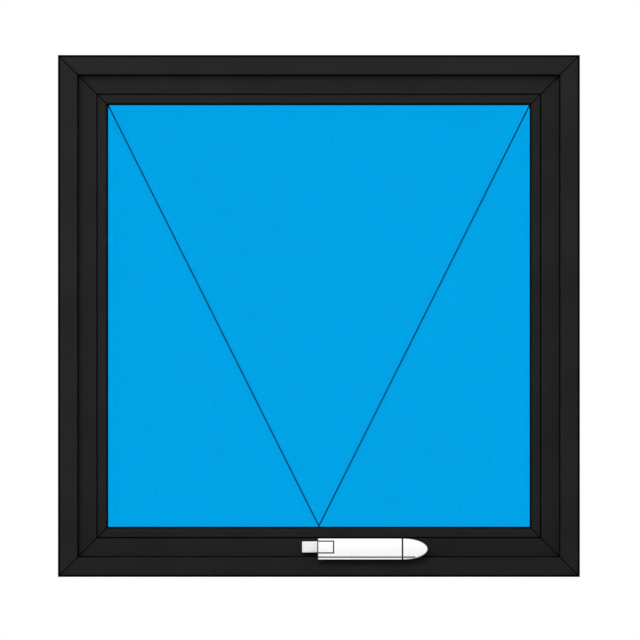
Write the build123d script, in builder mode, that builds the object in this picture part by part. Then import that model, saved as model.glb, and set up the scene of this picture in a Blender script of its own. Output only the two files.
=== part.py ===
from build123d import *
import os

# Top-hung window for ventilation, shown closed, with a lever handle on its bottom rail.
# X runs to the right as the room sees it, Y from the room out to the weather, Z up.
# The origin is the middle of the frame's underside. Sizes are in millimetres.
# Each profile section is drawn once, in two measures. The first is how far in it lies from the
# window's outer edge, towards the glass. The second is its place across the wall, which is the
# model's Y: negative on the room side and positive on the weather side.

# Whole window
window_width = 600.0
window_height = 600.0
frame_depth = 60.0

# Faces that the room sees, from the outer edge in towards the glass
frame_face = 22.5
sash_face = 22.0
bead_joint = 1.2
bead_height = 10.1
gasket_lip = 2.0

# Extruded walls
profile_wall = 2.4
inner_web = 2.0
bead_wall = 1.5

# Outer frame: a room-side upstand, a channel for the fittings and a weather-side nib
upstand_depth = 16.0
channel_height = 9.0
nib_height = 14.0
nib_depth = 8.0
frame_corner = 1.5

# Grooves along the outer edge, which hold fixing lugs and keep the foam in place
lug_groove_offset = 16.0
lug_groove_mouth = 5.0
lug_groove_width = 8.0
lug_groove_lip = 1.2
lug_groove_depth = 3.2

# Sash: laps over the frame on the weather side and under its upstand on the room side
sash_lap = 5.0
seal_gap = 3.5
flange_depth = 5.0
sash_corner = 1.0
glazing_lip_height = 5.0
glazing_lip_depth = 3.0
hardware_groove_middle = 10.0
hardware_groove_mouth = 12.0
hardware_groove_width = 16.0
hardware_groove_lip = 1.5
hardware_groove_depth = 4.0

# Rubber seals and glazing gaskets
seal_foot_width = 2.6
seal_foot_depth = 2.4
seal_bulb_width = 4.4
seal_bulb_bore = 0.8
seal_lip = 1.8
glazing_gasket_depth = 3.0
gasket_foot_depth = 2.0

# Sealed glass unit: two panes about a hollow spacer, with a sealant round the edge
pane_thickness = 4.0
glass_cavity = 12.0
glass_block_height = 3.5
glass_block_length = 60.0
glass_block_inset = 70.0
sealant_height = 3.5
spacer_height = 6.5
spacer_wall = 0.6

# Bead that clips in on the room side
bead_clearance = 0.2
bead_leg = 2.3
bead_corner = 1.6

# Weld seams, scraped to a fine V at each mitre
weld_seam_side = 0.9

# Fixing holes through the jambs and drain slots through the sill
fixing_hole_radius = 3.25
fixing_hole_inset = 150.0
drain_slot_length = 25.0
drain_slot_height = 3.5
drain_slot_inset = 120.0
drain_slot_middle = 4.2
drain_cap_length = 34.0
drain_cap_height = 6.4
drain_cap_depth = 3.4
drain_cap_wall = 1.0

# Handle on the sash's bottom rail, placed from the rail's middle and its room-side edge
handle_place = -1.4
handle_rise = 11.9
base_length = 36.0
base_height = 13.0
base_depth = 9.0
base_corner = 0.8
base_edge = 1.2
pivot_inset = 9.2
neck_radius = 5.4
neck_collar_radius = 6.4
neck_collar_depth = 2.5
neck_taper = 1.0
spindle_side = 7.0
spindle_play = 0.1
spindle_reach = 12.0
spindle_hole_radius = 5.5

# Lever: from its pivot end to the joint line, then the nose
lever_stand_off = 25.5
lever_lead = 0.6
lever_length = 97.5
lever_height = 24.0
lever_drop = 2.3
lever_thickness = 12.0
lever_crown_radius = 70.0
lever_edge = 0.8
boss_length = 24.0
grip_start = 46.0
grip_relief = 2.5
grip_curve = 30.0
lip_height = 2.7
lip_groove_side = 0.9
nose_length = 28.2
nose_joint = 1.2
nose_joint_depth = 1.4
nose_edge = 1.0
nose_lip_share = 0.5
cap_joint = 0.6
cap_depth = 3.0

# How far outside a rounded face its cutters start
cutter_lead = 1.0

# Places that follow from those sizes: across the wall
room_face = -frame_depth / 2
weather_face = frame_depth / 2
upstand_back = room_face + upstand_depth
nib_front = weather_face - nib_depth
sash_room_face = upstand_back + seal_gap
leg_front = weather_face + seal_gap
sash_weather_face = leg_front + flange_depth
lip_back = sash_room_face + glazing_lip_depth
glass_weather_face = leg_front - glazing_gasket_depth
cavity_weather_face = glass_weather_face - pane_thickness
cavity_room_face = cavity_weather_face - glass_cavity
glass_room_face = cavity_room_face - pane_thickness
bead_back = glass_room_face - glazing_gasket_depth

# Places that follow from those sizes: in from the outer edge
sash_edge = frame_face - sash_lap
flange_edge = nib_height - sash_lap
sash_lip = frame_face + sash_face
rebate_floor = sash_lip - glazing_lip_height
bead_edge = sash_lip + bead_joint
bead_sight = bead_edge + bead_height
glass_sight = bead_sight + gasket_lip
glass_edge = rebate_floor + glass_block_height
spacer_edge = glass_edge + sealant_height
spacer_sight = spacer_edge + spacer_height
frame_seal_middle = frame_face - seal_bulb_width / 2 - 0.2
sash_seal_middle = flange_edge + seal_bulb_width / 2 + 0.4
gasket_foot_middle = bead_sight - 3.5

# The four sides: where each outer edge lies, the way in from it and the length of its run
sides = {
    "bottom": (Vector(0, 0, 0), Vector(0, 0, 1), window_width),
    "top": (Vector(0, 0, window_height), Vector(0, 0, -1), window_width),
    "left": (Vector(-window_width / 2, 0, window_height / 2), Vector(1, 0, 0), window_height),
    "right": (Vector(window_width / 2, 0, window_height / 2), Vector(-1, 0, 0), window_height),
}


def run_direction(side):
    """The way along one side, square to the way in and to the depth."""
    inward = sides[side][1]
    return inward.cross(Vector(0, 1, 0))


def section_plane(side):
    """The plane across one side: its x points in towards the glass and its y to the weather."""
    edge, inward, _ = sides[side]
    return Plane(origin=edge, x_dir=inward, z_dir=run_direction(side))


def outer_plane(side):
    """The plane on one outer edge: its x runs along the side and its y to the weather."""
    edge, inward, _ = sides[side]
    return Plane(origin=edge, x_dir=run_direction(side), z_dir=-inward)


def mitre_plane(side, end):
    """The plane of the mitre at one end of a side, facing away from that side."""
    edge, inward, run = sides[side]
    along = run_direction(side) * end
    return Plane(origin=edge + along * (run / 2), z_dir=along + inward)


def seam_plane(side, end, face):
    """The plane across the mitre line at one end of a side, at the depth of one face."""
    edge, inward, run = sides[side]
    along = run_direction(side) * end
    corner = edge + along * (run / 2) + Vector(0, face, 0)
    return Plane(origin=corner, x_dir=along + inward, z_dir=inward - along)


def mitred_bar(section, side, seam_faces=()):
    """One side's length of a profile, mitred at both ends, with a scraped seam on the named faces."""
    reach = glass_sight * 1.5
    with BuildPart() as bar:
        with BuildSketch(section_plane(side)):
            add(section)
        extrude(amount=sides[side][2] / 2, both=True)
        for end in (-1, 1):
            split(bisect_by=mitre_plane(side, end), keep=Keep.BOTTOM)
        for end in (-1, 1):
            for face in seam_faces:
                with BuildSketch(seam_plane(side, end, face)):
                    Rectangle(weld_seam_side, weld_seam_side, rotation=45)
                extrude(amount=reach, both=True, mode=Mode.SUBTRACT)
    return bar.part


def ring(section):
    """A profile carried round all four sides as one piece."""
    bars = [mitred_bar(section, side) for side in sides]
    with BuildPart() as whole:
        for bar in bars:
            add(bar)
    return whole.part


def write(part, label):
    """Labels a finished piece and writes it to its own file."""
    part.label = label
    export_step(part, f"parts/{label}.step")


def cut_box(near, far, front, back):
    """Takes a rectangle out of the section being drawn, given its four limits."""
    with Locations(((near + far) / 2, (front + back) / 2)):
        Rectangle(far - near, back - front, mode=Mode.SUBTRACT)


def fill_box(near, far, front, back):
    """Adds a rectangle to the section being drawn, given its four limits."""
    with Locations(((near + far) / 2, (front + back) / 2)):
        Rectangle(far - near, back - front)


def cut_undercut_groove(start, middle, mouth, width, lip, depth):
    """Takes a groove out of a profile's outer edge: a narrow mouth with a wider space behind it."""
    cut_box(start, start + lip, middle - mouth / 2, middle + mouth / 2)
    cut_box(start + lip, start + depth, middle - width / 2, middle + width / 2)


# Section of the outer frame
lug_web = lug_groove_width / 2 + inner_web
with BuildSketch() as frame_section:
    with BuildLine():
        FilletPolyline(
            (0, room_face),
            (frame_face, room_face),
            (frame_face, upstand_back),
            (channel_height, upstand_back),
            (channel_height, nib_front),
            (nib_height, nib_front),
            (nib_height, weather_face),
            (0, weather_face),
            radius=[0, frame_corner, frame_corner, 0, 0, 0, frame_corner, 0],
            close=True,
        )
    make_face()
    for offset in (-lug_groove_offset, lug_groove_offset):
        cut_undercut_groove(
            0, offset, lug_groove_mouth, lug_groove_width, lug_groove_lip, lug_groove_depth
        )
    # Upstand chamber
    cut_box(
        lug_groove_depth + inner_web,
        frame_face - profile_wall,
        room_face + profile_wall,
        upstand_back - seal_foot_depth - inner_web,
    )
    # Chamber under the channel
    cut_box(
        profile_wall,
        channel_height - profile_wall,
        -lug_groove_offset + lug_web,
        lug_groove_offset - lug_web,
    )
    # Nib chamber
    cut_box(
        profile_wall,
        nib_height - profile_wall,
        nib_front + profile_wall,
        weather_face - profile_wall,
    )
    # Groove for the frame's seal
    cut_box(
        frame_seal_middle - seal_foot_width / 2,
        frame_seal_middle + seal_foot_width / 2,
        upstand_back - seal_foot_depth,
        upstand_back,
    )

# Section of the sash
hardware_web = hardware_groove_width / 2 + inner_web
with BuildSketch() as sash_section:
    with BuildLine():
        FilletPolyline(
            (sash_edge, sash_room_face),
            (sash_lip, sash_room_face),
            (sash_lip, lip_back),
            (rebate_floor, lip_back),
            (rebate_floor, leg_front),
            (bead_sight, leg_front),
            (bead_sight - sash_corner, sash_weather_face),
            (flange_edge, sash_weather_face),
            (flange_edge, leg_front),
            (sash_edge, leg_front),
            radius=[sash_corner, 0.4, 0.4, 0, 0, 0.5, sash_corner, sash_corner, sash_corner, 0],
            close=True,
        )
    make_face()
    cut_undercut_groove(
        sash_edge,
        hardware_groove_middle,
        hardware_groove_mouth,
        hardware_groove_width,
        hardware_groove_lip,
        hardware_groove_depth,
    )
    # Room-side chamber
    cut_box(
        sash_edge + profile_wall,
        rebate_floor - profile_wall,
        sash_room_face + profile_wall,
        hardware_groove_middle - hardware_web,
    )
    # Main chamber
    cut_box(
        sash_edge + hardware_groove_depth + inner_web,
        rebate_floor - profile_wall,
        hardware_groove_middle - hardware_web + inner_web,
        hardware_groove_middle + hardware_web - inner_web,
    )
    # Weather-side chamber
    cut_box(
        sash_edge + profile_wall,
        rebate_floor - profile_wall,
        hardware_groove_middle + hardware_web,
        sash_weather_face - profile_wall,
    )
    # Groove for the sash's seal
    cut_box(
        sash_seal_middle - seal_foot_width / 2,
        sash_seal_middle + seal_foot_width / 2,
        leg_front,
        leg_front + seal_foot_depth,
    )
    # Groove for the weather-side glazing gasket
    cut_box(
        gasket_foot_middle - seal_foot_width / 2,
        gasket_foot_middle + seal_foot_width / 2,
        leg_front,
        leg_front + gasket_foot_depth,
    )

# Section of the bead
with BuildSketch() as bead_section:
    with BuildLine():
        FilletPolyline(
            (bead_edge, sash_room_face),
            (bead_sight, sash_room_face),
            (bead_sight, bead_back),
            (rebate_floor, bead_back),
            (rebate_floor, bead_back - bead_leg),
            (bead_edge, bead_back - bead_leg),
            (bead_edge, lip_back + bead_clearance + bead_leg),
            (rebate_floor, lip_back + bead_clearance + bead_leg),
            (rebate_floor, lip_back + bead_clearance),
            (bead_edge, lip_back + bead_clearance),
            radius=[0.4, bead_corner, 0.4, 0, 0, 0, 0, 0, 0, 0],
            close=True,
        )
    make_face()
    cut_box(
        bead_edge + bead_wall,
        bead_sight - bead_wall,
        sash_room_face + bead_wall,
        bead_back - gasket_foot_depth - bead_wall,
    )
    cut_box(
        gasket_foot_middle - seal_foot_width / 2,
        gasket_foot_middle + seal_foot_width / 2,
        bead_back - gasket_foot_depth,
        bead_back,
    )


def seal_section(middle, shut, root, lip_way):
    """A bulb seal shut between two faces, with a foot past the root face and a lip that shows.

    middle and lip_way are measured in from the outer edge, shut and root across the wall.
    """
    away = 1 if root > shut else -1
    with BuildSketch() as seal:
        with BuildLine():
            FilletPolyline(
                (middle - lip_way * seal_bulb_width / 2, root),
                (middle + lip_way * seal_bulb_width / 2, root),
                (middle + lip_way * (seal_bulb_width / 2 + seal_lip), (root + shut) / 2),
                (middle + lip_way * seal_bulb_width / 2, shut),
                (middle - lip_way * seal_bulb_width / 2, shut),
                radius=[0.4, 0.4, 0.5, 0.8, 0.8],
                close=True,
            )
        make_face()
        foot_end = root + away * seal_foot_depth
        fill_box(
            middle - seal_foot_width / 2,
            middle + seal_foot_width / 2,
            min(root, foot_end),
            max(root, foot_end),
        )
        with Locations((middle, (root + shut) / 2)):
            Circle(seal_bulb_bore, mode=Mode.SUBTRACT)
    return seal.sketch


def glazing_gasket_section(root, glass):
    """A wedge gasket between a profile face and the glass, with a foot in the profile's groove."""
    away = 1 if root > glass else -1
    with BuildSketch() as gasket:
        with BuildLine():
            FilletPolyline(
                (gasket_foot_middle - seal_foot_width / 2, root),
                (bead_sight, root),
                (glass_sight, (2 * glass + root) / 3),
                (glass_sight, glass),
                (gasket_foot_middle - seal_foot_width / 2, glass),
                radius=[0, 0.3, 0.5, 0.3, 0.8],
                close=True,
            )
        make_face()
        foot_end = root + away * gasket_foot_depth
        fill_box(
            gasket_foot_middle - seal_foot_width / 2,
            gasket_foot_middle + seal_foot_width / 2,
            min(root, foot_end),
            max(root, foot_end),
        )
    return gasket.sketch


# Section of the spacer between the panes
with BuildSketch() as spacer_section:
    fill_box(spacer_edge, spacer_sight, cavity_room_face, cavity_weather_face)
    cut_box(
        spacer_edge + spacer_wall,
        spacer_sight - spacer_wall,
        cavity_room_face + spacer_wall,
        cavity_weather_face - spacer_wall,
    )

# Section of the sealant round the edge of the glass unit
with BuildSketch() as sealant_section:
    fill_box(glass_edge, spacer_edge, cavity_room_face, cavity_weather_face)

os.makedirs("parts", exist_ok=True)

# Outer frame
frame_names = {
    "bottom": "frame_sill",
    "top": "frame_head",
    "left": "frame_jamb_left",
    "right": "frame_jamb_right",
}
frame_bars = {
    side: mitred_bar(frame_section.sketch, side, (room_face, weather_face)) for side in sides
}

for side in ("left", "right"):
    with BuildPart() as frame_jamb:
        add(frame_bars[side])
        with BuildSketch(outer_plane(side)):
            with GridLocations(window_height - 2 * fixing_hole_inset, 0, 2, 1):
                Circle(fixing_hole_radius)
        extrude(amount=-channel_height, mode=Mode.SUBTRACT)
    write(frame_jamb.part, frame_names[side])

write(frame_bars["top"], frame_names["top"])

drain_spacing = window_width - 2 * drain_slot_inset
with BuildPart() as frame_sill:
    add(frame_bars["bottom"])
    # Slots out through the weather face
    with BuildSketch(Plane(origin=(0, weather_face, 0), x_dir=(-1, 0, 0), z_dir=(0, 1, 0))):
        with Locations((0, drain_slot_middle)):
            with GridLocations(drain_spacing, 0, 2, 1):
                SlotOverall(drain_slot_length, drain_slot_height)
    extrude(amount=-profile_wall, mode=Mode.SUBTRACT)
    # Slots from the channel into the nib's chamber
    with BuildSketch(Plane(origin=(0, nib_front, 0), x_dir=(1, 0, 0), z_dir=(0, -1, 0))):
        with Locations((0, (channel_height + nib_height - profile_wall) / 2)):
            with GridLocations(drain_spacing, 0, 2, 1):
                Rectangle(drain_slot_length, nib_height - profile_wall - channel_height)
    extrude(amount=-profile_wall, mode=Mode.SUBTRACT)
write(frame_sill.part, frame_names["bottom"])

# Hoods over the drain slots, open underneath
with BuildPart() as drain_caps:
    with BuildSketch(Plane(origin=(0, weather_face, 0), x_dir=(-1, 0, 0), z_dir=(0, 1, 0))):
        with Locations((0, drain_slot_middle)):
            with GridLocations(drain_spacing, 0, 2, 1):
                RectangleRounded(drain_cap_length, drain_cap_height, drain_cap_wall)
    extrude(amount=drain_cap_depth, taper=12)
    with BuildSketch(Plane(origin=(0, weather_face, 0), x_dir=(-1, 0, 0), z_dir=(0, 1, 0))):
        with Locations((0, drain_slot_middle - drain_cap_wall)):
            with GridLocations(drain_spacing, 0, 2, 1):
                Rectangle(drain_cap_length - 4 * drain_cap_wall, drain_cap_height)
    extrude(amount=drain_cap_depth - drain_cap_wall, mode=Mode.SUBTRACT)
write(drain_caps.part, "drain_caps")

# Sash
sash_names = {
    "bottom": "sash_bottom_rail",
    "top": "sash_top_rail",
    "left": "sash_stile_left",
    "right": "sash_stile_right",
}
sash_bars = {
    side: mitred_bar(sash_section.sketch, side, (sash_room_face, sash_weather_face))
    for side in sides
}
for side in ("top", "left", "right"):
    write(sash_bars[side], sash_names[side])

handle_plane = Plane(
    origin=(handle_place, sash_room_face, frame_face + handle_rise),
    x_dir=(1, 0, 0),
    z_dir=(0, -1, 0),
)
with BuildPart() as sash_bottom_rail:
    add(sash_bars["bottom"])
    # Hole for the handle's spindle through the room-side wall
    with BuildSketch(handle_plane):
        with Locations((pivot_inset, 0)):
            Circle(spindle_hole_radius)
    extrude(amount=-spindle_reach, mode=Mode.SUBTRACT)
write(sash_bottom_rail.part, sash_names["bottom"])

# Beads
for side in sides:
    write(mitred_bar(bead_section.sketch, side, (sash_room_face,)), f"bead_{side}")

# Rubber: the seals between the frame and the sash, and the gaskets on both sides of the glass
write(ring(seal_section(frame_seal_middle, sash_room_face, upstand_back, 1)), "frame_seal")
write(ring(seal_section(sash_seal_middle, weather_face, leg_front, -1)), "sash_seal")
write(ring(glazing_gasket_section(bead_back, glass_room_face)), "glazing_gasket_room")
write(ring(glazing_gasket_section(leg_front, glass_weather_face)), "glazing_gasket_weather")

# Sealed glass unit
glass_width = window_width - 2 * glass_edge
glass_height = window_height - 2 * glass_edge
for label, face in (("pane_room", glass_room_face), ("pane_weather", cavity_weather_face)):
    with BuildPart() as pane:
        with BuildSketch(
            Plane(origin=(0, face, window_height / 2), x_dir=(1, 0, 0), z_dir=(0, -1, 0))
        ):
            Rectangle(glass_width, glass_height)
        extrude(amount=-pane_thickness)
    write(pane.part, label)
write(ring(spacer_section.sketch), "glass_spacer")
write(ring(sealant_section.sketch), "glass_edge_sealant")

# Blocks that centre the glass unit in the sash's rebate, two to a side
with BuildPart() as glass_blocks:
    for side in sides:
        edge, inward, run = sides[side]
        middle = (glass_room_face + glass_weather_face) / 2
        block_plane = outer_plane(side).offset(-rebate_floor)
        with BuildSketch(block_plane):
            with Locations((0, middle)):
                with GridLocations(run - 2 * (glass_edge + glass_block_inset), 0, 2, 1):
                    Rectangle(glass_block_length, glass_weather_face - glass_room_face)
        extrude(amount=-glass_block_height)
write(glass_blocks.part, "glass_blocks")

# Handle: base, neck and spindle
with BuildPart() as handle_base:
    with BuildSketch(handle_plane):
        RectangleRounded(base_length, base_height, base_corner)
    extrude(amount=base_depth)
    fillet(handle_base.faces().sort_by(Axis.Y)[0].edges(), base_edge)
    with BuildSketch(handle_plane):
        with Locations((pivot_inset, 0)):
            Rectangle(spindle_side + 2 * spindle_play, spindle_side + 2 * spindle_play)
    extrude(amount=base_depth, mode=Mode.SUBTRACT)
write(handle_base.part, "handle_base")

neck_length = lever_stand_off - base_depth
pivot = handle_plane.offset(base_depth).from_local_coords((pivot_inset, 0, 0))
with BuildPart() as handle_neck:
    with BuildSketch(Plane(origin=pivot, x_dir=(1, 0, 0), z_dir=(0, 0, 1))):
        with BuildLine():
            Polyline(
                (0, 0),
                (neck_collar_radius, 0),
                (neck_collar_radius, -neck_collar_depth),
                (neck_radius, -neck_collar_depth - neck_taper),
                (neck_radius, -neck_length),
                (0, -neck_length),
                close=True,
            )
        make_face()
    revolve(axis=Axis(pivot, (0, 1, 0)))
write(handle_neck.part, "handle_neck")

with BuildPart() as handle_spindle:
    with BuildSketch(handle_plane.offset(base_depth)):
        with Locations((pivot_inset, 0)):
            Rectangle(spindle_side, spindle_side)
    extrude(amount=-(base_depth + spindle_reach))
write(handle_spindle.part, "handle_spindle")

# Places on the lever, from the window's outer edge and across the wall
lever_start = handle_place - lever_lead
cap_end = handle_place + base_length / 2
lever_back = sash_room_face - lever_stand_off
lever_front = lever_back - lever_thickness
lever_middle = frame_face + handle_rise - lever_drop
lever_low = lever_middle - lever_height / 2
joint_start = lever_start + lever_length
nose_start = joint_start + nose_joint
nose_tip = nose_start + nose_length
lever_plane = Plane(
    origin=(0, lever_front - cutter_lead, lever_middle), x_dir=(1, 0, 0), z_dir=(0, -1, 0)
)

# The whole length of the lever. Seen from above, its back is relieved behind the grip. Seen
# from the end, its front is crowned.
crown_middle = lever_front + lever_crown_radius
with BuildPart() as lever_blank:
    with BuildSketch(Plane.XY.offset(lever_low)):
        with BuildLine():
            FilletPolyline(
                (lever_start, lever_front - cutter_lead),
                (nose_tip, lever_front - cutter_lead),
                (nose_tip, lever_back - grip_relief),
                (lever_start + grip_start, lever_back - grip_relief),
                (lever_start + boss_length, lever_back),
                (lever_start, lever_back),
                radius=[0, 0, 0, grip_curve, grip_curve, 0],
                close=True,
            )
        make_face()
    extrude(amount=lever_height)
    with BuildSketch(Plane.YZ.offset(lever_start)):
        with Locations((crown_middle, lever_middle)):
            Circle(lever_crown_radius)
    extrude(amount=nose_tip - lever_start, mode=Mode.INTERSECT)

# The lip line is a fine V along the lower part of the crowned front
lip_drop = lever_height / 2 - lip_height
lip_front = crown_middle - (lever_crown_radius**2 - lip_drop**2) ** 0.5


def lip_line(length):
    """The cutter for the lip line, from the lever's pivot end."""
    with BuildPart() as groove:
        with BuildSketch(Plane.YZ.offset(lever_start)):
            with Locations((lip_front, lever_low + lip_height)):
                Rectangle(lip_groove_side, lip_groove_side, rotation=45)
        extrude(amount=length)
    return groove.part


with BuildPart() as handle_lever:
    add(lever_blank.part)
    split(bisect_by=Plane.YZ.offset(nose_start), keep=Keep.BOTTOM)
    fillet(handle_lever.edges().filter_by(Axis.X).group_by(Axis.Y)[0], lever_edge)
    # Joint line before the nose, cut round a smaller stub that the nose sits on
    with BuildSketch(Plane.YZ.offset(joint_start)):
        with Locations(((lever_front + lever_back - grip_relief) / 2, lever_middle)):
            Rectangle(2 * lever_thickness, 2 * lever_height)
            Rectangle(
                lever_thickness - grip_relief - 2 * nose_joint_depth,
                lever_height - 2 * nose_joint_depth,
                mode=Mode.SUBTRACT,
            )
    extrude(amount=nose_joint, mode=Mode.SUBTRACT)
    add(lip_line(lever_length), mode=Mode.SUBTRACT)
    # Pocket for the cap
    with BuildSketch(lever_plane):
        with Locations((lever_start, lever_drop)):
            Rectangle(
                cap_end - lever_start + cap_joint,
                base_height + 2 * cap_joint,
                align=(Align.MIN, Align.CENTER),
            )
    extrude(amount=-(cutter_lead + cap_depth), mode=Mode.SUBTRACT)
write(handle_lever.part, "handle_lever")

with BuildPart() as handle_cap:
    add(lever_blank.part)
    with BuildSketch(lever_plane):
        with Locations((lever_start, lever_drop)):
            Rectangle(
                cap_end - lever_start, base_height, align=(Align.MIN, Align.CENTER)
            )
    extrude(amount=-(cutter_lead + cap_depth), mode=Mode.INTERSECT)
write(handle_cap.part, "handle_cap")

with BuildPart() as handle_nose:
    with BuildSketch(lever_plane):
        with Locations((nose_start, 0)):
            Ellipse(nose_length, lever_height / 2)
            Rectangle(
                nose_length,
                lever_height,
                align=(Align.MAX, Align.CENTER),
                mode=Mode.SUBTRACT,
            )
    extrude(amount=-(cutter_lead + lever_thickness))
    add(lever_blank.part, mode=Mode.INTERSECT)
    front_edges = handle_nose.faces().sort_by(Axis.Y)[0].edges()
    chamfer(front_edges.sort_by(Axis.X)[1:], nose_edge)
    add(lip_line(nose_start + nose_length * nose_lip_share - lever_start), mode=Mode.SUBTRACT)
write(handle_nose.part, "handle_nose")
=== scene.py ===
import math

import bpy
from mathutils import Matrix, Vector

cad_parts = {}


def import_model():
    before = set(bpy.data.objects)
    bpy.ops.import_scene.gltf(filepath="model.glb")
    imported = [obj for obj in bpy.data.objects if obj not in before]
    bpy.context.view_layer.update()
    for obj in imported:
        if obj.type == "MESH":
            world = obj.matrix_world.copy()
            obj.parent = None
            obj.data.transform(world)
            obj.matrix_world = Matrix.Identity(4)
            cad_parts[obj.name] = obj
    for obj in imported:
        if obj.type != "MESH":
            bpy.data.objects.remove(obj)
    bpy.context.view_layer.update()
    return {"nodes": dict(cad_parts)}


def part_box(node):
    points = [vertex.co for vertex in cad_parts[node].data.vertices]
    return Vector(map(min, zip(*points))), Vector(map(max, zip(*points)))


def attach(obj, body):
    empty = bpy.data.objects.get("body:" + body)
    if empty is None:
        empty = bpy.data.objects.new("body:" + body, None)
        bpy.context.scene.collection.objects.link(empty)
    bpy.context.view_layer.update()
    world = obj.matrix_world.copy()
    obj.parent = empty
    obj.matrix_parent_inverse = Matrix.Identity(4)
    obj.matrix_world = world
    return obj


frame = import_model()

nodes = frame["nodes"]

# Places of the window, read from its CAD pieces, in metres
sillLow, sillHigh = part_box("frame_sill")
windowWidth = sillHigh.x - sillLow.x
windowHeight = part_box("frame_head")[1].z
frameSight = sillHigh.z  # how far in the frame's inner edge lies
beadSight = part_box("bead_bottom")[1].z  # how far in the bead's inner edge lies
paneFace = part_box("pane_room")[0].y  # the glass's face on the room side
spacerLow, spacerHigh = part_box("glass_spacer")
print("frame loaded:", len(nodes), "pieces,", round(windowWidth, 4), "m wide")


# Camera, placed so that the window's edges fall where the photograph has them
photo = {
    "size": 640,  # pixels, both ways
    "left": 57.4, "right": 580.4,  # the outer frame's edges, in pixels
    "top": 55.55, "bottom": 576.4,
    "distance": 3.0,  # metres in front of the middle of the frame's depth
}


def makeCamera(look):
    pixelsAcross = (look["right"] - look["left"] + look["bottom"] - look["top"]) / 2
    metresPerPixel = windowWidth / pixelsAcross
    middleX = (look["left"] + look["right"]) / 2
    middleY = (look["top"] + look["bottom"]) / 2
    lens = bpy.data.cameras.new("camera")
    lens.type = "ORTHO"
    lens.ortho_scale = look["size"] * metresPerPixel
    camera = bpy.data.objects.new("camera", lens)
    camera.location = (
        (look["size"] / 2 - middleX) * metresPerPixel,
        -look["distance"],
        windowHeight / 2 + (middleY - look["size"] / 2) * metresPerPixel,
    )
    camera.rotation_euler = (math.radians(90), 0, 0)
    bpy.context.scene.collection.objects.link(camera)
    bpy.context.scene.camera = camera


makeCamera(photo)
print("camera set")


# Short ways to add nodes: a value that is a socket is linked, and any other value is set
def feed(tree, node, sockets):
    for name, value in sockets.items():
        if isinstance(value, bpy.types.NodeSocket):
            tree.links.new(value, node.inputs[name])
        else:
            node.inputs[name].default_value = value


def addNode(tree, kind, sockets=None, **settings):
    node = tree.nodes.new(kind)
    for name, value in settings.items():
        setattr(node, name, value)
    feed(tree, node, sockets or {})
    return node


def calc(tree, operation, first, second=0.0, third=0.0):
    sockets = {0: first, 1: second, 2: third}
    return addNode(tree, "ShaderNodeMath", sockets, operation=operation).outputs[0]


def combine(tree, operation, first, *others):
    # the same operation over any number of values
    for other in others:
        first = calc(tree, operation, first, other)
    return first


def average(tree, first, second):
    return calc(tree, "MULTIPLY", calc(tree, "ADD", first, second), 0.5)


def fade(tree, value, start, end, low=0.0, high=1.0):
    # goes smoothly from low at start to high at end
    sockets = {"Value": value, "From Min": start, "From Max": end, "To Min": low, "To Max": high}
    return addNode(tree, "ShaderNodeMapRange", sockets, interpolation_type="SMOOTHSTEP").outputs[0]


def before(tree, value, edge, soft):
    # 1 up to the edge, fading to 0 over soft
    return fade(tree, value, edge, edge + soft, 1.0, 0.0)


def band(tree, value, middle, half, soft):
    # 1 within half of the middle, fading to 0 over soft
    away = calc(tree, "ABSOLUTE", calc(tree, "SUBTRACT", value, middle))
    return before(tree, away, half, soft)


def fromRim(tree, size, value):
    # how far inside the rim a place lies, in a size that is centred on 0
    return calc(tree, "SUBTRACT", calc(tree, "MULTIPLY", size, 0.5), calc(tree, "ABSOLUTE", value))


def joinPlace(tree, x, y, z):
    return addNode(tree, "ShaderNodeCombineXYZ", {0: x, 1: y, 2: z}).outputs[0]


def splitPlace(tree, place):
    return addNode(tree, "ShaderNodeSeparateXYZ", {0: place}).outputs


noiseSpan = (0.3, 0.7)  # a noise pattern's usual low and high


def speckle(tree, vector, noise):
    # noise holds the pattern's scale, detail and roughness
    scale, detail, roughness = noise
    sockets = {"Vector": vector, "Scale": scale, "Detail": detail, "Roughness": roughness}
    return addNode(tree, "ShaderNodeTexNoise", sockets).outputs["Fac"]


def stretch(tree, vector, factors):
    sockets = {"Vector": vector, "Scale": factors}
    return addNode(tree, "ShaderNodeMapping", sockets).outputs["Vector"]


def roughen(tree, pattern, look, span=noiseSpan):
    # roughness that rises with a pattern
    low = look["roughness"]
    return fade(tree, pattern, *span, low, low + look["roughnessSpread"])


def rgb(values):
    return (*values, 1.0)


def grey(value):
    return (value, value, value, 1.0)


def blend(tree, factor, first, second):
    sockets = {0: factor, 6: first, 7: second}
    return addNode(tree, "ShaderNodeMix", sockets, data_type="RGBA").outputs[2]


def shade(tree, colour, factor):
    # the colour times a number
    sockets = {0: 1.0, 6: colour, 7: factor}
    settings = {"data_type": "RGBA", "blend_type": "MULTIPLY"}
    return addNode(tree, "ShaderNodeMix", sockets, **settings).outputs[2]


def layer(tree, colour, *layers):
    # lays each colour over the last, where its mask is
    for mask, over in layers:
        colour = blend(tree, mask, colour, rgb(over))
    return colour


def emboss(tree, height, depth, under=None):
    # bump of a height map, depth in metres
    sockets = {"Height": height, "Distance": depth, "Strength": 1.0}
    if under is not None:
        sockets["Normal"] = under
    return addNode(tree, "ShaderNodeBump", sockets).outputs["Normal"]


def objectPlace(tree):
    return addNode(tree, "ShaderNodeTexCoord").outputs["Object"]


def newMaterial(name):
    material = bpy.data.materials.new(name)
    material.use_nodes = True
    tree = material.node_tree
    tree.nodes.clear()
    shader = addNode(tree, "ShaderNodeBsdfPrincipled")
    addNode(tree, "ShaderNodeOutputMaterial", {"Surface": shader.outputs[0]})
    return material, tree, shader


def dress(names, material):
    for name in names:
        for place in nodes[name].material_slots:
            place.material = material


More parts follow.
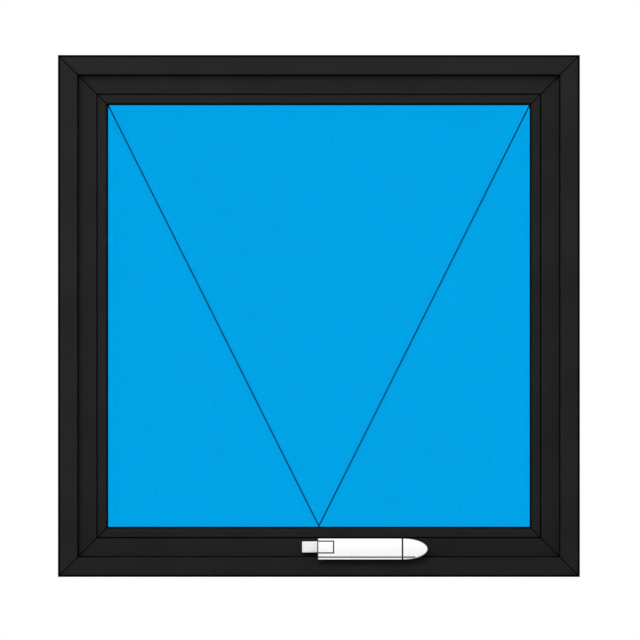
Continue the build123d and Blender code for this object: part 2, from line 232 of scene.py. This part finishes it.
# Studio: a pale floor, soft lamps and a white surround
studio = {
    "fill": 0.42,  # how strongly the surround lights the object
    "floorColour": 0.86, "floorRoughness": 0.9, "floorSize": 6.0,
    "lamps": {  # metres and watts
        "leftLamp": {"place": (-0.9, -3.6, 1.5), "power": 71.0, "size": 1.4},
        "rightLamp": {"place": (0.5, -3.8, 1.5), "power": 22.5, "size": 1.4},
        "backLamp": {"place": (-1.2, 2.4, 2.0), "power": 32.0, "size": 1.6},
    },
}


def makeSurround(look):
    world = bpy.data.worlds.new("surround")
    world.use_nodes = True
    tree = world.node_tree
    tree.nodes.clear()
    path = addNode(tree, "ShaderNodeLightPath").outputs
    rays = ("Is Camera Ray", "Is Glossy Ray", "Is Transmission Ray")
    seen = combine(tree, "MAXIMUM", *(path[ray] for ray in rays))
    strength = fade(tree, seen, 0.0, 1.0, look["fill"], 1.0)
    sky = addNode(tree, "ShaderNodeBackground", {"Color": grey(1.0), "Strength": strength})
    addNode(tree, "ShaderNodeOutputWorld", {"Surface": sky.outputs[0]})
    bpy.context.scene.world = world


def makeLamp(name, look):
    light = bpy.data.lights.new(name, "AREA")
    light.energy = look["power"]
    light.size = look["size"]
    lamp = bpy.data.objects.new(name, light)
    lamp.location = look["place"]
    aim = Vector((0, 0, windowHeight / 2)) - lamp.location
    lamp.rotation_euler = aim.to_track_quat("-Z", "Y").to_euler()
    bpy.context.scene.collection.objects.link(lamp)


def makeFloor(look):
    half = look["floorSize"] / 2
    corners = [(-half, -half, 0), (half, -half, 0), (half, half, 0), (-half, half, 0)]
    mesh = bpy.data.meshes.new("floor")
    mesh.from_pydata(corners, [], [(0, 1, 2, 3)])
    floor = bpy.data.objects.new("floor", mesh)
    bpy.context.scene.collection.objects.link(floor)
    material, tree, shader = newMaterial("paleFloor")
    feed(tree, shader, {
        "Base Color": grey(look["floorColour"]),
        "Roughness": look["floorRoughness"],
        "Specular IOR Level": 0.0,
    })
    mesh.materials.append(material)


bpy.context.scene.view_settings.view_transform = "Standard"
makeSurround(studio)
for lampName, lampLook in studio["lamps"].items():
    makeLamp(lampName, lampLook)
makeFloor(studio)
print("studio set")


# Coordinates that follow the four bars of a mitred frame
barPattern = {
    # how far each bar's stretch of a pattern is shifted, in metres, so that no two look the same
    "railShift": 1.0, "stileShift": 3.0,
}


def makeBarCoordinates(look):
    group = bpy.data.node_groups.new("barCoordinates", "ShaderNodeTree")
    for name in ("Window Width", "Window Height"):
        group.interface.new_socket(name, in_out="INPUT", socket_type="NodeSocketFloat")
    group.interface.new_socket("Bar", in_out="OUTPUT", socket_type="NodeSocketVector")
    for name in ("From Edge", "Mitre Distance"):
        group.interface.new_socket(name, in_out="OUTPUT", socket_type="NodeSocketFloat")
    inlet = addNode(group, "NodeGroupInput").outputs
    x, y, z = splitPlace(group, objectPlace(group))
    halfHeight = calc(group, "MULTIPLY", inlet["Window Height"], 0.5)
    rise = calc(group, "SUBTRACT", z, halfHeight)
    fromSide = fromRim(group, inlet["Window Width"], x)
    fromEnd = fromRim(group, inlet["Window Height"], rise)
    onStile = calc(group, "LESS_THAN", fromSide, fromEnd)
    fromEdge = calc(group, "MINIMUM", fromSide, fromEnd)
    apart = calc(group, "ABSOLUTE", calc(group, "SUBTRACT", fromSide, fromEnd))
    mitre = calc(group, "MULTIPLY", apart, math.sqrt(0.5))
    railRun = calc(group, "MULTIPLY_ADD", calc(group, "SIGN", rise), look["railShift"], x)
    stileRun = calc(group, "MULTIPLY_ADD", calc(group, "SIGN", x), look["stileShift"], z)
    run = addNode(group, "ShaderNodeMix", {0: onStile, 2: railRun, 3: stileRun}).outputs[0]
    bar = joinPlace(group, run, fromEdge, y)
    addNode(group, "NodeGroupOutput", {"Bar": bar, "From Edge": fromEdge, "Mitre Distance": mitre})
    return group


barCoordinates = makeBarCoordinates(barPattern)


def barPlace(tree):
    node = addNode(tree, "ShaderNodeGroup", node_tree=barCoordinates)
    feed(tree, node, {"Window Width": windowWidth, "Window Height": windowHeight})
    return node.outputs


# Dark uPVC of the frame and the sash: foil grain, die lines, scraped seams, a bare core outside,
# painted highlights and shade
upvc = {
    "colour": (0.0130, 0.0130, 0.0132),
    "cloud": (14.0, 4.0, 0.5), "cloudAmount": 0.10,
    "grain": (1500.0, 4.0, 0.6), "grainStretch": (0.22, 1.0, 1.0), "grainDepth": 0.00003,
    "die": (900.0, 2.0, 0.5), "dieStretch": (0.004, 1.0, 1.0), "dieDepth": 0.000012,
    "roughness": 0.40, "roughnessSpread": 0.12,
    "specular": 0.03, "ior": 1.53,
    # how far outwards of an inner edge, or of the open joint, a paler corner lies: rubbed, and
    # partly a painted highlight
    "frameArris": 0.0005, "jointArris": 0.001, "sashArris": 0.0004, "beadArris": 0.0006,
    "arrisHalf": 0.0004, "arrisSoft": 0.0004, "arrisWearAndHighlightColour": (0.05, 0.05, 0.05),
    "rubAndHighlight": (60.0, 5.0, 0.65), "rubAndHighlightSpan": (0.56, 0.74), "rubAndHighlightAmount": 0.35,
    "dust": (55.0, 6.0, 0.7), "dustSpan": (0.35, 0.7), "dustAmount": 0.20,
    "dustFlat": (0.75, 0.98),  # how level a face is before dust lies on it
    "dustColour": (0.19, 0.18, 0.16), "dustRoughness": 0.75,
    "jointMiddle": 0.0451, "jointHalf": 0.0007,  # open joint between the sash and its bead, with painted shade along it
    "seamHalf": 0.00045, "seamSoft": 0.0003, "seamRoughness": 0.7,
    # dark colour of the mitre seams, also used as the painted shade in the open joint
    "seamColour": (0.0010, 0.0010, 0.0011),
    "rimWidth": 0.0024,  # dark rim that shows round the room and weather faces
    "rimColour": (0.0008, 0.0008, 0.0009), "rimRoughness": 0.85,
    "coreSkin": 0.00005,  # how far in the outer edge's own colour reaches
    "coreColour": (0.013, 0.013, 0.0132),
    "streakColour": (0.023, 0.0225, 0.0218), "streakSpan": (0.35, 0.65),
}


def makeUpvc(name, look, arrises):
    material, tree, shader = newMaterial(name)
    place = barPlace(tree)
    bar, fromEdge, mitre = place["Bar"], place["From Edge"], place["Mitre Distance"]
    cloud = speckle(tree, bar, look["cloud"])
    cloud = fade(tree, cloud, *noiseSpan, 1 - look["cloudAmount"], 1 + look["cloudAmount"])
    grain = speckle(tree, stretch(tree, bar, look["grainStretch"]), look["grain"])
    die = speckle(tree, stretch(tree, bar, look["dieStretch"]), look["die"])
    # corners of the profile, painted a little paler: partly rubbed where hands and cloths pass,
    # partly a painted highlight on the arrises
    rubbedAndHighlit = speckle(tree, bar, look["rubAndHighlight"])
    rubbedAndHighlit = fade(tree, rubbedAndHighlit, *look["rubAndHighlightSpan"], 0.0, look["rubAndHighlightAmount"])
    corners = [band(tree, fromEdge, edge, look["arrisHalf"], look["arrisSoft"]) for edge in arrises]
    wornAndHighlit = calc(tree, "MULTIPLY", combine(tree, "MAXIMUM", *corners), rubbedAndHighlit)
    # dust on what faces up
    facing = addNode(tree, "ShaderNodeNewGeometry").outputs["Normal"]
    lying = fade(tree, splitPlace(tree, facing)["Z"], *look["dustFlat"])
    patchy = fade(tree, speckle(tree, bar, look["dust"]), *look["dustSpan"])
    dust = combine(tree, "MULTIPLY", lying, patchy, look["dustAmount"])
    # painted shade along the open joint beside the bead, on the room side only, and scraped seams
    # at the mitres
    roomSide = calc(tree, "LESS_THAN", splitPlace(tree, bar)["Z"], 0.0)
    joint = band(tree, fromEdge, look["jointMiddle"], look["jointHalf"], look["seamSoft"])
    joint = calc(tree, "MULTIPLY", joint, roomSide)
    seam = before(tree, mitre, look["seamHalf"], look["seamSoft"])
    # dark rim of the faces, and the bare core of the outer edge itself
    rim = before(tree, fromEdge, look["rimWidth"], look["seamSoft"])
    streaks = fade(tree, die, *look["streakSpan"])
    core = layer(
        tree, rgb(look["coreColour"]),
        (streaks, look["streakColour"]), (dust, look["dustColour"]),
    )
    outside = before(tree, fromEdge, look["coreSkin"], look["coreSkin"])
    skin = layer(
        tree, shade(tree, rgb(look["colour"]), cloud),
        (wornAndHighlit, look["arrisWearAndHighlightColour"]), (dust, look["dustColour"]), (joint, look["seamColour"]),
        (seam, look["seamColour"]), (rim, look["rimColour"]),
    )
    gloss = combine(
        tree, "MAXIMUM", roughen(tree, average(tree, die, grain), look),
        calc(tree, "MULTIPLY", seam, look["seamRoughness"]),
        calc(tree, "MULTIPLY", rim, look["rimRoughness"]),
        calc(tree, "MULTIPLY", lying, look["dustRoughness"]),
    )
    feed(tree, shader, {
        "Base Color": blend(tree, outside, skin, core),
        "Roughness": gloss,
        "Normal": emboss(tree, grain, look["grainDepth"], emboss(tree, die, look["dieDepth"])),
        "Specular IOR Level": look["specular"],
        "IOR": look["ior"],
    })
    return material


frameBars = ("frame_sill", "frame_head", "frame_jamb_left", "frame_jamb_right")
sashBars = ("sash_bottom_rail", "sash_top_rail", "sash_stile_left", "sash_stile_right")
beads = ("bead_bottom", "bead_top", "bead_left", "bead_right")
frameArrises = (frameSight - upvc["frameArris"],)
sashArrises = (upvc["jointMiddle"] - upvc["jointArris"], beadSight - upvc["sashArris"])
beadArrises = (beadSight - upvc["beadArris"],)
dress(frameBars, makeUpvc("frameUpvc", upvc, frameArrises))
dress(sashBars, makeUpvc("sashUpvc", upvc, sashArrises))
dress(beads + ("drain_caps",), makeUpvc("beadUpvc", upvc, beadArrises))
print("uPVC done")


# Rubber of the seals and gaskets, with a fine stipple and a chalky bloom
rubber = {
    "colour": (0.0012, 0.0012, 0.0013), "bloomColour": (0.015, 0.015, 0.015),
    "bloom": (40.0, 5.0, 0.6), "bloomSpan": (0.45, 0.75), "bloomAmount": 0.10,
    "stipple": (2600.0, 2.0, 0.5), "stippleDepth": 0.00003,
    "rib": (1100.0, 1.0, 0.5), "ribStretch": (0.003, 1.0, 1.0), "ribDepth": 0.00004,
    "roughness": 0.72, "roughnessSpread": 0.16,
    "specular": 0.03,
}


def makeRubber(name, look):
    material, tree, shader = newMaterial(name)
    bar = barPlace(tree)["Bar"]
    bloom = speckle(tree, bar, look["bloom"])
    bloom = fade(tree, bloom, *look["bloomSpan"], 0.0, look["bloomAmount"])
    stipple = speckle(tree, bar, look["stipple"])
    ribs = speckle(tree, stretch(tree, bar, look["ribStretch"]), look["rib"])
    feed(tree, shader, {
        "Base Color": blend(tree, bloom, rgb(look["colour"]), rgb(look["bloomColour"])),
        "Roughness": roughen(tree, bloom, look, (0.0, look["bloomAmount"])),
        "Normal": emboss(tree, stipple, look["stippleDepth"], emboss(tree, ribs, look["ribDepth"])),
        "Specular IOR Level": look["specular"],
    })
    return material


rubbers = ("frame_seal", "sash_seal", "glazing_gasket_room", "glazing_gasket_weather")
dress(rubbers, makeRubber("sealRubber", rubber))


# Sealant round the edge of the glass unit, lumpy and smoothed lengthways with a tool
sealant = {
    "colour": (0.006, 0.006, 0.0065), "paleColour": (0.016, 0.016, 0.017),
    "lump": (130.0, 3.0, 0.5), "lumpDepth": 0.0002,
    "tool": (900.0, 2.0, 0.5), "toolStretch": (0.05, 1.0, 1.0), "toolDepth": 0.00005,
    "roughness": 0.55, "roughnessSpread": 0.2,
    "specular": 0.2,
}


def makeSealant(name, look):
    material, tree, shader = newMaterial(name)
    bar = barPlace(tree)["Bar"]
    lumps = speckle(tree, bar, look["lump"])
    tooling = speckle(tree, stretch(tree, bar, look["toolStretch"]), look["tool"])
    feed(tree, shader, {
        "Base Color": blend(tree, lumps, rgb(look["colour"]), rgb(look["paleColour"])),
        "Roughness": roughen(tree, lumps, look),
        "Normal": emboss(tree, tooling, look["toolDepth"], emboss(tree, lumps, look["lumpDepth"])),
        "Specular IOR Level": look["specular"],
    })
    return material


dress(("glass_edge_sealant",), makeSealant("edgeSealant", sealant))
print("rubber and sealant done")


# Glass: a clear pane on the room side and a sky-blue one on the weather side
clearGlass = {
    "colour": (0.985, 0.992, 0.990), "cloudAmount": 0.004,
    "smear": (9.0, 6.0, 0.62), "smearStretch": (1.0, 1.0, 0.35), "smearSpan": (0.45, 0.75),
    "wave": (5.0, 1.0, 0.5), "waveDepth": 0.00006,
    "roughness": 0.0, "roughnessSpread": 0.02,
    "ior": 1.5, "shine": 0.01,  # how much of plain glass's mirror is left, as on a coated unit
}
blueGlass = {
    "colour": (0.0, 0.369, 0.808), "cloudAmount": 0.012,
    "smear": (7.0, 6.0, 0.62), "smearStretch": (1.0, 1.0, 0.2), "smearSpan": (0.45, 0.75),
    "wave": (4.0, 1.0, 0.5), "waveDepth": 0.00008,
    "roughness": 0.01, "roughnessSpread": 0.05,
    "ior": 1.5, "shine": 0.01,
}


def makeGlass(name, look):
    material, tree, shader = newMaterial(name)
    place = objectPlace(tree)
    smears = speckle(tree, stretch(tree, place, look["smearStretch"]), look["smear"])
    wave = speckle(tree, place, look["wave"])
    tint = fade(tree, smears, *noiseSpan, 1 - look["cloudAmount"], 1.0)
    feed(tree, shader, {
        "Base Color": shade(tree, rgb(look["colour"]), tint),
        "Roughness": roughen(tree, smears, look, look["smearSpan"]),
        "Normal": emboss(tree, wave, look["waveDepth"]),
        "Transmission Weight": 1.0,
        "Specular Tint": grey(look["shine"]),
        "IOR": look["ior"],
    })
    return material


dress(("pane_room",), makeGlass("clearGlass", clearGlass))
dress(("pane_weather",), makeGlass("blueGlass", blueGlass))
print("glass done")


# Spacer between the panes: mill aluminium, drawn lengthways
spacerMetal = {
    "colour": (0.50, 0.51, 0.53), "dullColour": (0.36, 0.37, 0.39),
    "draw": (700.0, 3.0, 0.5), "drawStretch": (0.01, 1.0, 1.0), "drawDepth": 0.00003,
    "stain": (30.0, 5.0, 0.5),
    "roughness": 0.30, "roughnessSpread": 0.2,
    "seamHalf": 0.0003, "seamSoft": 0.0003, "seamColour": (0.02, 0.02, 0.02),
}


def makeSpacerMetal(name, look):
    material, tree, shader = newMaterial(name)
    place = barPlace(tree)
    drawn = speckle(tree, stretch(tree, place["Bar"], look["drawStretch"]), look["draw"])
    stain = speckle(tree, place["Bar"], look["stain"])
    seam = before(tree, place["Mitre Distance"], look["seamHalf"], look["seamSoft"])
    metal = rgb(look["colour"])
    feed(tree, shader, {
        "Base Color": layer(tree, metal, (stain, look["dullColour"]), (seam, look["seamColour"])),
        "Metallic": 1.0,
        "Roughness": roughen(tree, average(tree, drawn, stain), look),
        "Normal": emboss(tree, drawn, look["drawDepth"]),
    })
    return material


dress(("glass_spacer",), makeSpacerMetal("spacerMetal", spacerMetal))


# Glass blocks and the handle's spindle, in a mottled and finely pitted finish
blockPlastic = {
    "colour": (0.11, 0.12, 0.13), "mottleColour": (0.15, 0.16, 0.17),
    "mottle": (120.0, 4.0, 0.5), "pit": (1400.0, 3.0, 0.5), "pitDepth": 0.00003,
    "roughness": 0.45, "roughnessSpread": 0.2,
    "metallic": 0.0, "specular": 0.4,
}
spindleSteel = {
    "colour": (0.52, 0.52, 0.51), "mottleColour": (0.34, 0.34, 0.33),
    "mottle": (160.0, 4.0, 0.5), "pit": (2200.0, 3.0, 0.5), "pitDepth": 0.00002,
    "roughness": 0.34, "roughnessSpread": 0.22,
    "metallic": 1.0, "specular": 0.5,
}


def makeMottled(name, look):
    material, tree, shader = newMaterial(name)
    place = objectPlace(tree)
    mottle = speckle(tree, place, look["mottle"])
    pits = speckle(tree, place, look["pit"])
    feed(tree, shader, {
        "Base Color": blend(tree, mottle, rgb(look["colour"]), rgb(look["mottleColour"])),
        "Roughness": roughen(tree, mottle, look),
        "Normal": emboss(tree, pits, look["pitDepth"]),
        "Metallic": look["metallic"],
        "Specular IOR Level": look["specular"],
    })
    return material


dress(("glass_blocks",), makeMottled("blockPlastic", blockPlastic))
dress(("handle_spindle",), makeMottled("spindleSteel", spindleSteel))
print("spacer, blocks and spindle done")


# Handle: white powder coat with orange peel, and painted shade in its joints and grooves
leverLow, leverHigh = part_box("handle_lever")
noseLow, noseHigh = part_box("handle_nose")
capLow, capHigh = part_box("handle_cap")

handleCoat = {
    "colour": (0.955, 0.955, 0.950), "warmColour": (0.93, 0.925, 0.91),
    "handled": (35.0, 5.0, 0.6), "handledSpan": (0.4, 0.75), "handledAmount": 0.25,
    "peel": (900.0, 2.0, 0.5), "peelDepth": 0.000035,
    "fine": (4200.0, 2.0, 0.5), "fineDepth": 0.00001,
    "roughness": 0.30, "roughnessSpread": 0.14, "grooveShadeRoughness": 0.7,
    "specular": 0.45,
    "soft": 0.0003,  # over which each painted shade line fades
    # dark lines painted as shade in the lip groove, round the cap, at the lever's left end and
    # before the nose
    "lipRise": 0.0027, "lipHalf": 0.0006, "lipShadeColour": (0.012, 0.012, 0.012),
    "capJoint": 0.0006, "capHalf": 0.0006, "capShadeColour": (0.012, 0.012, 0.012),
    "endWidth": 0.0012, "endShadeColour": (0.006, 0.006, 0.006),
    "noseJoint": 0.0012, "noseHalf": 0.0008, "noseShadeColour": (0.006, 0.006, 0.006),
}


def makeHandleCoat(name, look):
    material, tree, shader = newMaterial(name)
    place = objectPlace(tree)
    x, y, z = splitPlace(tree, place)
    soft = look["soft"]
    peel = speckle(tree, place, look["peel"])
    fine = speckle(tree, place, look["fine"])
    handled = speckle(tree, place, look["handled"])
    handled = fade(tree, handled, *look["handledSpan"], 0.0, look["handledAmount"])
    onLever = calc(tree, "LESS_THAN", y, leverHigh.y)  # in front of the lever's back
    # painted shade in the lip groove along the lower part, ending on the nose
    lip = band(tree, z, leverLow.z + look["lipRise"], look["lipHalf"], soft)
    lipEnd = before(tree, x, (noseLow.x + noseHigh.x) / 2, soft)
    lip = combine(tree, "MULTIPLY", lip, lipEnd, onLever)
    # painted shade in the gap round the cap: lines along its top and bottom, and one up its right
    # side
    half, joint = look["capHalf"], look["capJoint"] / 2
    reach = half + joint
    top = band(tree, z, capHigh.z + joint, half, soft)
    bottom = band(tree, z, capLow.z - joint, half, soft)
    right = band(tree, x, capHigh.x + joint, half, soft)
    leftOfEnd = before(tree, x, capHigh.x + reach, soft)
    aboveFoot = fade(tree, z, capLow.z - reach - soft, capLow.z - reach)
    belowHead = before(tree, z, capHigh.z + reach, soft)
    across = calc(tree, "MULTIPLY", calc(tree, "MAXIMUM", top, bottom), leftOfEnd)
    upright = combine(tree, "MULTIPLY", right, aboveFoot, belowHead)
    cap = calc(tree, "MULTIPLY", calc(tree, "MAXIMUM", across, upright), onLever)
    # painted shade at the left end of the lever, where it stands over the base, and in the joint
    # before its nose
    end = calc(tree, "MULTIPLY", before(tree, x, leverLow.x + look["endWidth"], soft), onLever)
    nose = band(tree, x, noseLow.x - look["noseJoint"] / 2, look["noseHalf"], soft)
    nose = calc(tree, "MULTIPLY", nose, onLever)
    # the painted shade lines of the lip, cap and nose, which are also made rougher
    grooveShade = combine(tree, "MAXIMUM", lip, cap, nose)
    rough = calc(tree, "MULTIPLY", grooveShade, look["grooveShadeRoughness"])
    gloss = roughen(tree, handled, look, (0.0, look["handledAmount"]))
    feed(tree, shader, {
        "Base Color": layer(
            tree, rgb(look["colour"]), (handled, look["warmColour"]), (lip, look["lipShadeColour"]),
            (cap, look["capShadeColour"]), (end, look["endShadeColour"]), (nose, look["noseShadeColour"]),
        ),
        "Roughness": calc(tree, "MAXIMUM", gloss, rough),
        "Normal": emboss(tree, fine, look["fineDepth"], emboss(tree, peel, look["peelDepth"])),
        "Specular IOR Level": look["specular"],
    })
    return material


handlePieces = ("handle_base", "handle_neck", "handle_lever", "handle_nose", "handle_cap")
dress(handlePieces, makeHandleCoat("handleCoat", handleCoat))
print("handle done")


# Pieces made by Geometry Nodes
def newTree(name, inputs):
    tree = bpy.data.node_groups.new(name, "GeometryNodeTree")
    for label, kind in inputs.items():
        tree.interface.new_socket(label, in_out="INPUT", socket_type="NodeSocket" + kind)
    tree.interface.new_socket("Geometry", in_out="OUTPUT", socket_type="NodeSocketGeometry")
    return tree, addNode(tree, "NodeGroupInput").outputs


def endTree(tree, geometry, material):
    real = addNode(tree, "GeometryNodeRealizeInstances", {0: geometry}).outputs[0]
    painted = addNode(tree, "GeometryNodeSetMaterial", {"Geometry": real, "Material": material})
    addNode(tree, "NodeGroupOutput", {"Geometry": painted.outputs[0]})


def joinAll(tree, pieces):
    join = addNode(tree, "GeometryNodeJoinGeometry")
    for piece in pieces:
        tree.links.new(piece, join.inputs[0])
    return join.outputs[0]


def pointPlace(tree):
    return splitPlace(tree, addNode(tree, "GeometryNodeInputPosition").outputs[0])


def moveTo(tree, geometry, place):
    sockets = {"Geometry": geometry, "Position": place}
    return addNode(tree, "GeometryNodeSetPosition", sockets).outputs[0]


def growPiece(name, tree, values):
    empty = bpy.data.meshes.new(name + "Seed")
    piece = bpy.data.objects.new(name, empty)
    bpy.context.scene.collection.objects.link(piece)
    maker = piece.modifiers.new("maker", "NODES")
    maker.node_group = tree
    for item in tree.interface.items_tree:
        if item.in_out == "INPUT":
            maker[item.identifier] = values[item.name]
    graph = bpy.context.evaluated_depsgraph_get()
    mesh = bpy.data.meshes.new_from_object(piece.evaluated_get(graph))
    piece.modifiers.remove(maker)
    piece.data = mesh
    for place in reversed(range(len(mesh.materials))):
        if mesh.materials[place] is None:  # an empty slot that the seed leaves
            mesh.materials.pop(index=place)
    mesh.name = name
    bpy.data.meshes.remove(empty)
    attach(piece, "root")
    print(name, "made,", len(mesh.polygons), "faces")


# Two fine lines on the room pane, from its top corners to the middle of its bottom edge
openingSign = {
    "lineWidth": 0.0015, "inkThickness": 0.00005,
    "mergeDistance": 0.000005,
    "gasketLip": 0.0020,  # the gasket shows this wide past the bead
    "colour": (0.0003, 0.004, 0.030), "mottleColour": (0.0008, 0.008, 0.050),
    "mottle": (220.0, 4.0, 0.5), "pit": (3000.0, 2.0, 0.5), "pitDepth": 0.00001,
    "roughness": 0.5, "roughnessSpread": 0.2,
    "metallic": 0.0, "specular": 0.02,
}


def makeOpeningTree():
    tree, inlet = newTree("openingLines", {
        "Half Width": "Float", "Top": "Float", "Bottom": "Float",
        "Line Width": "Float", "Ink Thickness": "Float", "Face": "Float",
        "Merge Distance": "Float", "Material": "Material",
    })
    climb = calc(tree, "SUBTRACT", inlet["Top"], inlet["Bottom"])
    slope = calc(tree, "DIVIDE", climb, inlet["Half Width"])
    # upright width of a sloping line, so that it keeps its width square to its run
    steep = calc(tree, "SQRT", calc(tree, "MULTIPLY_ADD", slope, slope, 1.0))
    uprightWidth = calc(tree, "MULTIPLY", inlet["Line Width"], steep)
    sheet = addNode(tree, "GeometryNodeMeshGrid", {
        "Size X": calc(tree, "MULTIPLY", inlet["Half Width"], 2.0), "Size Y": uprightWidth,
        "Vertices X": 3, "Vertices Y": 2,  # a strip with one fold, at the tip of the V
    }).outputs[0]
    x, y, _ = pointPlace(tree)
    rise = calc(tree, "MULTIPLY", calc(tree, "ABSOLUTE", x), slope)
    height = combine(tree, "ADD", rise, inlet["Bottom"], y)
    flat = moveTo(tree, sheet, joinPlace(tree, x, inlet["Face"], height))
    raised = addNode(tree, "GeometryNodeExtrudeMesh", {
        "Mesh": flat, "Individual": False,
        "Offset": (0, -1, 0), "Offset Scale": inlet["Ink Thickness"],  # towards the room
    }).outputs[0]
    back = addNode(tree, "GeometryNodeFlipFaces", {0: flat}).outputs[0]
    closed = addNode(tree, "GeometryNodeMergeByDistance", {
        "Geometry": joinAll(tree, (raised, back)), "Distance": inlet["Merge Distance"],
    }).outputs[0]
    endTree(tree, closed, inlet["Material"])
    return tree


glassSight = beadSight + openingSign["gasketLip"]
growPiece("openingLines", makeOpeningTree(), {
    "Half Width": windowWidth / 2 - glassSight,
    "Top": windowHeight - glassSight,
    "Bottom": glassSight + openingSign["lineWidth"] / 2,
    "Line Width": openingSign["lineWidth"],
    "Ink Thickness": openingSign["inkThickness"],
    "Face": paneFace,
    "Merge Distance": openingSign["mergeDistance"],
    "Material": makeMottled("lineInk", openingSign),
})


# Two rows of vent holes round the spacer's inner face, each a thin dark plug that paints the shade
# inside the hole
ventHoles = {
    "spacing": 0.003, "rowGap": 0.004,  # along a row, and from row to row
    "cornerClear": 0.004,  # no hole lies this near a corner
    "holeRadius": 0.00035, "holeSides": 8,
    "plugDepth": 0.00004,  # half of it stands proud of the spacer
    "spacerHeight": 0.0065,  # from the spacer's outer face to its inner one
    # painted shade inside the holes
    "colour": (0.004, 0.004, 0.004), "mottleColour": (0.012, 0.012, 0.012),
    "mottle": (300.0, 4.0, 0.5), "pit": (3000.0, 2.0, 0.5), "pitDepth": 0.00002,
    "roughness": 0.8, "roughnessSpread": 0.1,
    "metallic": 0.0, "specular": 0.05,
}


def makeVentTree():
    tree, inlet = newTree("ventHoles", {
        "Sight Width": "Float", "Sight Height": "Float", "Middle Height": "Float",
        "Middle Depth": "Float", "Row Gap": "Float", "Spacing": "Float", "Corner Clear": "Float",
        "Hole Radius": "Float", "Hole Sides": "Int", "Plug Depth": "Float", "Material": "Material",
    })
    outline = addNode(tree, "GeometryNodeCurvePrimitiveQuadrilateral", {
        "Width": inlet["Sight Width"], "Height": inlet["Sight Height"],
    }).outputs[0]
    spaced = addNode(tree, "GeometryNodeResampleCurve", {
        "Curve": outline, "Length": inlet["Spacing"],
    }, mode="LENGTH").outputs[0]
    x, y, z = pointPlace(tree)
    stood = moveTo(tree, spaced, joinPlace(tree, x, inlet["Middle Depth"], y))
    # the hole faces the middle: sideways on a stile, up or down on a rail
    fromSide = fromRim(tree, inlet["Sight Width"], x)
    fromEnd = fromRim(tree, inlet["Sight Height"], z)
    onStile = calc(tree, "LESS_THAN", fromSide, fromEnd)
    inX = calc(tree, "MULTIPLY", calc(tree, "SIGN", x), calc(tree, "MULTIPLY", onStile, -1.0))
    inZ = calc(tree, "MULTIPLY", calc(tree, "SIGN", z), calc(tree, "SUBTRACT", onStile, 1.0))
    turned = addNode(tree, "FunctionNodeAlignRotationToVector", {
        "Vector": joinPlace(tree, inX, 0.0, inZ),
    }, axis="Z").outputs[0]
    fromCorner = calc(tree, "MAXIMUM", fromSide, fromEnd)
    clear = calc(tree, "GREATER_THAN", fromCorner, inlet["Corner Clear"])
    plug = addNode(tree, "GeometryNodeMeshCylinder", {
        "Vertices": inlet["Hole Sides"],
        "Radius": inlet["Hole Radius"], "Depth": inlet["Plug Depth"],
    }).outputs["Mesh"]
    holes = addNode(tree, "GeometryNodeInstanceOnPoints", {
        "Points": stood, "Selection": clear, "Instance": plug, "Rotation": turned,
    }).outputs[0]
    rows = []
    for way in (-0.5, 0.5):
        shift = calc(tree, "MULTIPLY", inlet["Row Gap"], way)
        row = addNode(tree, "GeometryNodeTransform", {
            "Geometry": holes, "Translation": joinPlace(tree, 0.0, shift, inlet["Middle Height"]),
        })
        rows.append(row.outputs[0])
    endTree(tree, joinAll(tree, rows), inlet["Material"])
    return tree


growPiece("spacerVents", makeVentTree(), {
    "Sight Width": spacerHigh.x - spacerLow.x - 2 * ventHoles["spacerHeight"],
    "Sight Height": spacerHigh.z - spacerLow.z - 2 * ventHoles["spacerHeight"],
    "Middle Height": (spacerLow.z + spacerHigh.z) / 2,
    "Middle Depth": (spacerLow.y + spacerHigh.y) / 2,
    "Row Gap": ventHoles["rowGap"],
    "Spacing": ventHoles["spacing"],
    "Corner Clear": ventHoles["cornerClear"],
    "Hole Radius": ventHoles["holeRadius"],
    "Hole Sides": ventHoles["holeSides"],
    "Plug Depth": ventHoles["plugDepth"],
    "Material": makeMottled("ventHoleShade", ventHoles),
})
